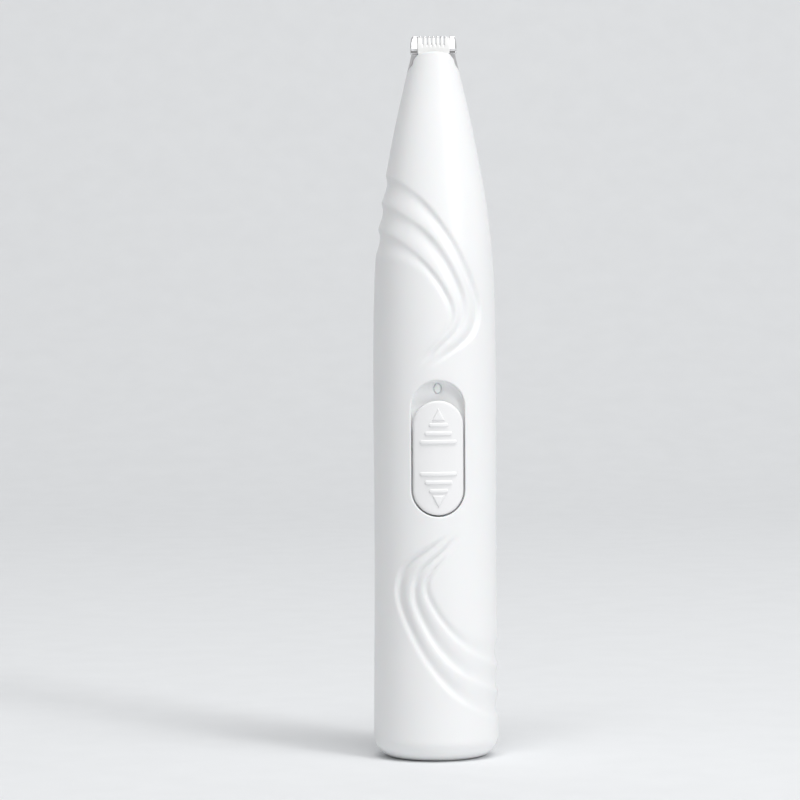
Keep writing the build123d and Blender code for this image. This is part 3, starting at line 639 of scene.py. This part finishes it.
def slider_marks():
    """Outlines of the raised arrows and bars, from the middle of the slider."""
    outlines = []
    for side in (1, -1):
        tip, foot, half = 10.25 * side, 7.72 * side, 1.3
        triangle = [(-half, foot), (half, foot), (0, tip)]
        corners = triangle if side > 0 else triangle[::-1]
        outlines.append(densified(grown(np.array(corners), -0.05), 0.22))
        for length, out in ((3.85, 6.8), (5.6, 5.05), (7.6, 3.3)):
            bar = stadium(0.74, length, 0, 0, 72)
            outlines.append(np.column_stack([bar[:, 1], -bar[:, 0]]) + (0, side * out))
    return [np.column_stack([o[:, 0], o[:, 1] + BUTTON_Z]) for o in outlines]


def thumb_slider():
    """Crowned slider with its raised marks and a stem back to the carrier."""
    piece = Piece()
    outline = stadium(BUTTON_W, BUTTON_H, 0, BUTTON_Z)
    back, edge = RECESS_FLOOR - BUTTON_LIFT, 0.45
    rings = [(-0.95, lambda x, z: back + 0 * x), (-0.45, lambda x, z: back - 0.2 + 0 * x),
             (-0.12, lambda x, z: back - 0.5 + 0 * x)]
    for inset, drop in round_steps(edge, 6):
        rings.append((-inset, lambda x, z, d=drop: front_y(x, z) + d))
    raised_form(piece, outline, rings, 0.55)
    for mark in slider_marks():
        height, soft = 0.27, 0.16
        rings = [(0.1, lambda x, z: front_y(x, z) + 0.15), (0.07, lambda x, z: front_y(x, z) - 0.02)]
        for inset, drop in round_steps(soft, 3):
            rings.append((-inset, lambda x, z, d=drop: front_y(x, z) - height + d))
        raised_form(piece, mark, rings, 0.3)
    corners = ((-1, -1), (1, -1), (1, 1), (-1, 1))
    stem = densified([(1.5 * side, BUTTON_Z + 2 * up) for side, up in corners], 1.0)
    loop = piece.add(np.column_stack([stem[:, 0], 0 * stem[:, 0] + button_high[1], stem[:, 1]]))
    piece.faces.append(tuple(loop))
    last = sink(piece, loop, [(stem, back - 0.1)])
    piece.faces.append(tuple(last[::-1]))
    return piece.build("thumb_slider")


def lens():
    """Milky window: a crown inside a narrow groove, all below the path of the slider."""
    piece = Piece()
    groove = ellipse(LENS_W - 0.06, LENS_H - 0.06, 0, LENS_Z)
    crown_w, crown_h = LENS_W - 0.62, LENS_H - 0.62
    loop = piece.add(np.column_stack([groove[:, 0], 0 * groove[:, 0] + lens_high[1], groove[:, 1]]))
    piece.faces.append(tuple(loop))
    rings = [(groove, RECESS_FLOOR + 0.22), (ellipse(crown_w, crown_h, 0, LENS_Z), RECESS_FLOOR + 0.22)]
    for share in (1.0, 0.94, 0.8, 0.6, 0.35):
        rise = 0.14 * math.sqrt(1 - (share * 0.97) ** 2)
        rings.append((ellipse(crown_w * share, crown_h * share, 0, LENS_Z), RECESS_FLOOR + 0.04 - rise))
    last = sink(piece, loop, rings)
    centre = piece.add([(0, RECESS_FLOOR - 0.1, LENS_Z)])[0]
    for i in range(len(last)):
        piece.faces.append((last[i], last[(i + 1) % len(last)], centre))
    return piece.build("indicator_window")


# ---------------------------------------------------------------- blades
def comb(top, root, count, pitch, slot, tip):
    """Points of a toothed top edge from right to left between the outermost slots."""
    r = slot / 2
    points = []
    for i in range(count):
        x = (count / 2 - 0.5 - i) * pitch
        points += [(x + r + tip, top), (x + r, top - 2.2 * tip)]
        points += [(x + r * math.cos(a * DEG), root + r - r * math.sin(a * DEG)) for a in range(0, 181, 30)]
        points += [(x - r, top - 2.2 * tip), (x - r - tip, top)]
    return points


def flat_piece(name, outline, holes, y_front, y_back, bevel, spacing):
    """Plate between two surfaces of (x, z) with softened edges and open holes."""
    piece = Piece()
    rims = {}
    for side, surface in (("back", y_back), ("front", y_front)):
        inset = grown(outline, -bevel)
        rim = piece.add(np.column_stack([inset[:, 0], surface(inset[:, 0], inset[:, 1]), inset[:, 1]]))
        hole_insets = [grown(hole, bevel) for hole in holes]

        def keep(x, z, margin, inset=inset, hole_insets=hole_insets):
            if not inside_polygon(inset, x, z) or any(inside_polygon(h, x, z) for h in hole_insets):
                return False
            loops = [inset] + hole_insets
            return margin == 0 or min(np.hypot(o[:, 0] - x, o[:, 1] - z).min() for o in loops) > margin

        hole_rims = cap(piece, rim, inset, hole_insets, surface, spacing, keep)
        rims[side] = [rim] + hole_rims
    for k, edge in enumerate([outline] + holes):
        x, z = edge[:, 0], edge[:, 1]
        lower = piece.add(np.column_stack([x, y_back(x, z) - bevel, z]))
        upper = piece.add(np.column_stack([x, y_front(x, z) + bevel, z]))
        piece.strip(rims["back"][k], lower, closed=True)
        piece.strip(lower, upper, closed=True)
        piece.strip(upper, rims["front"][k], closed=True)
    return piece.build(name)


def moving_comb():
    """White blade, thinner towards the tips of its teeth."""
    back, front, top = moving_high[1], moving_low[1], moving_high[2]
    half, low = moving_high[0], moving_low[2]
    teeth = comb(top, MOVING_ROOT, 6, TOOTH_PITCH, TOOTH_SLOT, 0.1)
    right = [(2.0, low), (2.6, low + 0.9), (half - 0.12, low + 1.55), (half, low + 1.75),
             (half, top - 0.3), (half - 0.14, top)]
    left = [(-x, z) for x, z in right[::-1]]
    outline = densified(right + teeth + left, 0.3)

    def face(x, z):
        thin = smooth(z, 148.0, top) * 0.34
        return front + thin + 0 * x

    return flat_piece("moving_comb", outline, [], face, lambda x, z: back + 0 * x, 0.04, 0.22)


def fixed_comb():
    """Steel blade with round shoulders, a window for the follower and two screw holes."""
    back, front, top = fixed_high[1], fixed_low[1], fixed_high[2]
    half, low = fixed_high[0], fixed_low[2]
    shoulder = [(half - 0.62 * (1 - math.cos(a * DEG)), 147.9 + (top - 147.9) * math.sin(a * DEG))
                for a in (0, 15, 30, 45, 60, 72, 82)]
    right = [(4.2, low), (4.2, 139.6), (3.4, 140.4), (3.4, 146.2), (half, 146.2)]
    right += shoulder + [(half - 0.75, top)]
    teeth = comb(top, FIXED_ROOT, 8, TOOTH_PITCH, TOOTH_SLOT, 0.08)
    left = [(-x, z) for x, z in right[::-1]]
    outline = densified(right + teeth + left, 0.3)
    window = densified([(-2.15, 140.5), (2.15, 140.5), (2.15, 144.9), (-2.15, 144.9)], 0.5)
    screws = [ellipse(1.2, 1.2, x, 137.8, 20) for x in (-3.2, 3.2)]

    def face(x, z):
        groove = np.clip((z - 146.5) / 0.6, 0, 1) * smooth(z, 147.2, 147.06)
        line = np.clip((SEAT_LINE - z) / 0.16, 0, 1) * (z > 145)
        return front + 0.2 * groove + 0.3 * line + 0 * x

    return flat_piece("fixed_comb", outline, [window] + screws, face, lambda x, z: back + 0 * x, 0.11, 0.13)


# ---------------------------------------------------------------- materials
def node_material(name, colour, rough, metal=0.0, grain=0.35, stretch=(1, 1, 1), tint=0.03, bump=0.04,
                  rough_spread=0.06, sockets=None):
    """Principled material with colour, roughness and bump from noise whose grain is in millimetres."""
    mat = bpy.data.materials.new(name)
    mat.use_nodes = True
    nodes, links = mat.node_tree.nodes, mat.node_tree.links
    shader = nodes["Principled BSDF"]
    place = nodes.new("ShaderNodeTexCoord")
    scale = nodes.new("ShaderNodeMapping")
    scale.inputs["Scale"].default_value = [s / (grain * MM) for s in stretch]
    links.new(place.outputs["Object"], scale.inputs["Vector"])
    fine = nodes.new("ShaderNodeTexNoise")
    fine.inputs["Scale"].default_value = 1.0
    fine.inputs["Detail"].default_value = 3.0
    links.new(scale.outputs["Vector"], fine.inputs["Vector"])
    broad = nodes.new("ShaderNodeTexNoise")
    broad.inputs["Scale"].default_value = 90.0
    broad.inputs["Detail"].default_value = 2.0
    links.new(place.outputs["Object"], broad.inputs["Vector"])
    ramp = nodes.new("ShaderNodeValToRGB")
    dark = [c * (1 - tint) for c in colour[:3]] + [1]
    light = [min(1, c * (1 + tint)) for c in colour[:3]] + [1]
    ramp.color_ramp.elements[0].position, ramp.color_ramp.elements[1].position = 0.3, 0.7
    ramp.color_ramp.elements[0].color, ramp.color_ramp.elements[1].color = dark, light
    links.new(broad.outputs["Fac"], ramp.inputs["Fac"])
    links.new(ramp.outputs["Color"], shader.inputs["Base Color"])
    spread = nodes.new("ShaderNodeMapRange")
    spread.inputs["To Min"].default_value = max(0.02, rough - rough_spread)
    spread.inputs["To Max"].default_value = min(1, rough + rough_spread)
    links.new(fine.outputs["Fac"], spread.inputs["Value"])
    links.new(spread.outputs["Result"], shader.inputs["Roughness"])
    relief_node = nodes.new("ShaderNodeBump")
    relief_node.inputs["Strength"].default_value = bump
    relief_node.inputs["Distance"].default_value = 0.02 * MM
    links.new(fine.outputs["Fac"], relief_node.inputs["Height"])
    links.new(relief_node.outputs["Normal"], shader.inputs["Normal"])
    shader.inputs["Metallic"].default_value = metal
    for socket, value in (sockets or {}).items():
        shader.inputs[socket].default_value = value
    return mat


BRUSHED_UP = (6, 6, 0.25)
BRUSHED_ACROSS = (0.2, 6, 6)
FINISHES = {
    "shell_white": dict(rough=0.34, grain=0.25, tint=0.006, bump=0.05,
                        sockets={"Subsurface Weight": 0.06, "Subsurface Scale": 0.0015, "IOR": 1.5}),
    "button_white": dict(rough=0.36, grain=0.22, tint=0.006, bump=0.06, sockets={"IOR": 1.5}),
    "blade_ceramic": dict(rough=0.3, grain=0.05, tint=0.01, bump=0.06, sockets={"IOR": 1.6}),
    "blade_steel": dict(rough=0.14, metal=1.0, grain=0.35, stretch=BRUSHED_ACROSS, tint=0.04, bump=0.05),
    "seat_steel": dict(rough=0.36, metal=1.0, grain=0.3, stretch=BRUSHED_UP, tint=0.07, bump=0.3),
    "spring_steel": dict(rough=0.25, metal=1.0, grain=0.3, stretch=BRUSHED_UP, tint=0.05, bump=0.1),
    "screw_steel": dict(rough=0.26, metal=1.0, grain=0.2, tint=0.06, bump=0.12),
    "socket_steel": dict(rough=0.22, metal=1.0, grain=0.3, stretch=BRUSHED_UP, tint=0.04, bump=0.08),
    "motor_steel": dict(rough=0.4, metal=1.0, grain=0.5, stretch=BRUSHED_UP, tint=0.08, bump=0.15),
    "switch_metal": dict(rough=0.3, metal=1.0, grain=0.3, tint=0.05, bump=0.1),
    "nickel": dict(rough=0.3, metal=1.0, grain=0.3, stretch=BRUSHED_ACROSS, tint=0.05, bump=0.15),
    "bronze": dict(rough=0.42, metal=1.0, grain=0.15, tint=0.1, bump=0.2),
    "copper": dict(rough=0.3, metal=1.0, grain=0.22, stretch=(5, 5, 0.3), tint=0.12, bump=0.5),
    "magnet": dict(rough=0.6, grain=0.12, tint=0.15, bump=0.3),
    "board_green": dict(rough=0.3, grain=0.4, tint=0.12, bump=0.1),
    "part_ceramic": dict(rough=0.5, grain=0.1, tint=0.1, bump=0.2),
    "chip_black": dict(rough=0.55, grain=0.1, tint=0.15, bump=0.25),
    "inner_plastic": dict(rough=0.5, grain=0.3, tint=0.03, bump=0.12),
    "rubber_black": dict(rough=0.8, grain=0.2, tint=0.15, bump=0.3),
    "cell_wrap": dict(rough=0.25, grain=0.6, tint=0.05, bump=0.1),
    "wire_red": dict(rough=0.45, grain=0.3, tint=0.08, bump=0.1),
    "wire_black": dict(rough=0.45, grain=0.3, tint=0.12, bump=0.1),
    "clear_plastic": dict(rough=0.08, grain=0.5, tint=0.01, bump=0.02,
                          sockets={"Transmission Weight": 0.9, "IOR": 1.49}),
    "lens_clear": dict(rough=0.12, grain=0.3, tint=0.01, bump=0.02,
                       sockets={"Subsurface Weight": 0.2, "Subsurface Scale": 0.001}),
    "led_white": dict(rough=0.3, grain=0.15, tint=0.06, bump=0.1),
}
colours = {m["slot"]: m["base_color"] for m in frame["record"]["materials"]}
materials = {slot: node_material(slot + "_look", colours[slot], **FINISHES[slot]) for slot in colours}
slot_of = {s["node"]: s["material_slot"] for s in frame["record"]["subparts"]}


def dress(obj, slot):
    """Give a piece the look of its material slot."""
    obj.data.materials.clear()
    obj.data.materials.append(materials[slot])


for node, obj in frame["nodes"].items():
    dress(obj, slot_of[node])


# ---------------------------------------------------------------- pieces onto their bodies
def fit(piece, body, slot, *nodes):
    """Put a finished piece on its body in place of the plain nodes."""
    dress(piece, slot)
    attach(piece, body)
    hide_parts(*nodes)


fit(front_cover(), "root", "shell_white", "front_shell")
fit(rear_cover(), "root", "shell_white", "rear_shell")
fit(thumb_slider(), "switch", "button_white", "slide_button")
fit(lens(), "root", "lens_clear", "indicator_lens")
fit(moving_comb(), "blade", "blade_ceramic", "moving_blade")
fit(fixed_comb(), "root", "blade_steel", "fixed_blade")


# ---------------------------------------------------------------- floor and backdrop
def studio():
    """Pale floor that curves up into a backdrop behind the trimmer."""
    mesh = bpy.data.meshes.new("studio_sweep")
    width, front, back, bend, height = 3.0, -2.4, 1.1, 0.5, 1.8
    turns = [a * DEG for a in range(0, 91, 6)]
    curve = [(back - bend + bend * math.sin(a), bend - bend * math.cos(a)) for a in turns]
    profile = [(front, 0.0)] + curve + [(back, height)]
    points = [(x, y, z) for y, z in profile for x in (-width, width)]
    faces = [(2 * i, 2 * i + 1, 2 * i + 3, 2 * i + 2) for i in range(len(profile) - 1)]
    mesh.from_pydata(points, [], faces)
    mesh.polygons.foreach_set("use_smooth", [True] * len(faces))
    sweep = bpy.data.objects.new("studio_sweep", mesh)
    bpy.context.scene.collection.objects.link(sweep)
    paper = node_material("studio_paper", (0.80, 0.812, 0.825), 0.75, grain=2.0, tint=0.01, bump=0.02)
    mesh.materials.append(paper)


def softbox(name, place, size, power, aim=(0, 0, 0.08)):
    """Rectangular lamp in metres and watts, turned to its aim."""
    lamp = bpy.data.lights.new(name, "AREA")
    lamp.shape = "RECTANGLE"
    lamp.size, lamp.size_y = size
    lamp.energy = power
    obj = bpy.data.objects.new(name, lamp)
    obj.location = place
    obj.rotation_euler = (Vector(aim) - Vector(place)).to_track_quat("-Z", "Y").to_euler()
    bpy.context.scene.collection.objects.link(obj)


def lights():
    """Weak soft lamps from the right, front, left and top, a wash on the backdrop and a pale room."""
    softbox("key_right", (0.62, -0.72, 0.62), (0.22, 0.5), 3.4)
    softbox("front_card", (0.07, -1.15, 0.22), (0.28, 0.36), 0.4)
    softbox("fill_left", (-0.9, -0.9, 0.35), (0.8, 0.8), 0.25)
    softbox("top", (0.1, -0.3, 1.3), (0.7, 0.7), 2.5)
    softbox("backdrop_wash", (0.2, -0.6, 1.7), (1.6, 0.6), 18.5, (0, 1.1, 0.45))
    world = bpy.data.worlds.new("soft_room")
    world.use_nodes = True
    world.node_tree.nodes["Background"].inputs["Color"].default_value = (1.0, 1.0, 1.0, 1)
    world.node_tree.nodes["Background"].inputs["Strength"].default_value = 0.295
    bpy.context.scene.world = world


# ---------------------------------------------------------------- camera
def camera():
    """Long lens from slightly left of the front and a little above the middle."""
    distance, azimuth, height = 0.75, -3.4 * DEG, 0.112
    frame_height, centre_z, object_right, roll = 0.1668, 0.0745, 0.00725, 0.3 * DEG
    place = Vector((distance * math.sin(azimuth), -distance * math.cos(azimuth), height))
    right = Vector((math.cos(azimuth), math.sin(azimuth), 0))
    target = Vector((0, 0, centre_z)) - right * object_right
    data = bpy.data.cameras.new("camera")
    data.sensor_width = 36.0
    data.lens = data.sensor_width * (target - place).length / frame_height
    obj = bpy.data.objects.new("camera", data)
    obj.location = place
    turn = (target - place).to_track_quat("-Z", "Y")
    obj.rotation_euler = turn.to_euler()
    obj.rotation_euler.rotate_axis("Z", -roll)
    bpy.context.scene.collection.objects.link(obj)
    bpy.context.scene.camera = obj


studio()
lights()
camera()
bpy.context.scene.view_settings.view_transform = "Standard"
